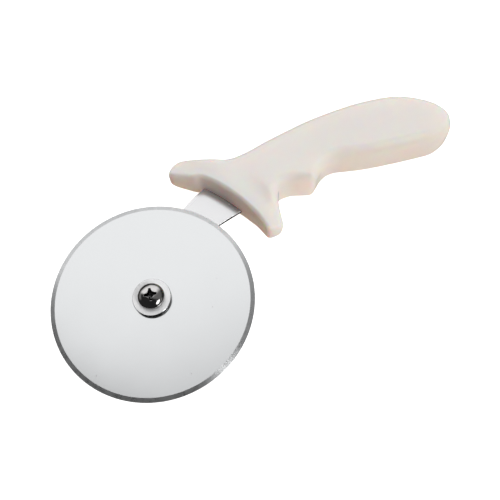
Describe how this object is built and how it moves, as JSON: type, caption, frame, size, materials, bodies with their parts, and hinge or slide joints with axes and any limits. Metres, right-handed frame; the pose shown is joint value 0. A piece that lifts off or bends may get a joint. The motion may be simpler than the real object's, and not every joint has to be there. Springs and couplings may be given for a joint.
{
  "type": "wheel cutter",
  "caption": "Hand-held pastry wheel cutter: a bevelled steel wheel turns on a flanged bush held by a flat steel arm moulded into a white plastic grip.",
  "frame": {"origin": "wheel centre, on the axle, half way through the thickness of the wheel", "axes": "+X along the grip from the wheel towards the butt, +Y the thumb side of the grip (up in use, with the wheel rolling on its -Y side), +Z along the axle on the screw-head side"},
  "size_m": [0.2343, 0.1148, 0.024],
  "materials": {
    "grip_plastic": "satin moulded polypropylene, warm white",
    "arm_steel": "fine satin stainless plate",
    "blade_steel": "polished stainless with a ground bevel",
    "bush_steel": "bright turned steel",
    "black_nickel": "glossy black nickel plate",
    "zinc_steel": "zinc plated",
    "nylon": "blue nylon"
  },
  "bodies": {
    "holder": {"handle": "grip_plastic", "tang_arm": "arm_steel", "hub_bush": "bush_steel", "rear_spacer": "bush_steel", "pivot_screw": "black_nickel", "rear_washer": "zinc_steel", "pivot_nut": "zinc_steel", "nut_insert": "nylon"},
    "wheel": {"cutting_wheel": "blade_steel"}
  },
  "joints": [
    {"name": "wheel_spin", "type": "hinge", "parent": "holder", "child": "wheel", "pos_m": [0, 0, 0], "axis": [0, 0, 1], "continuous": true}
  ]
}
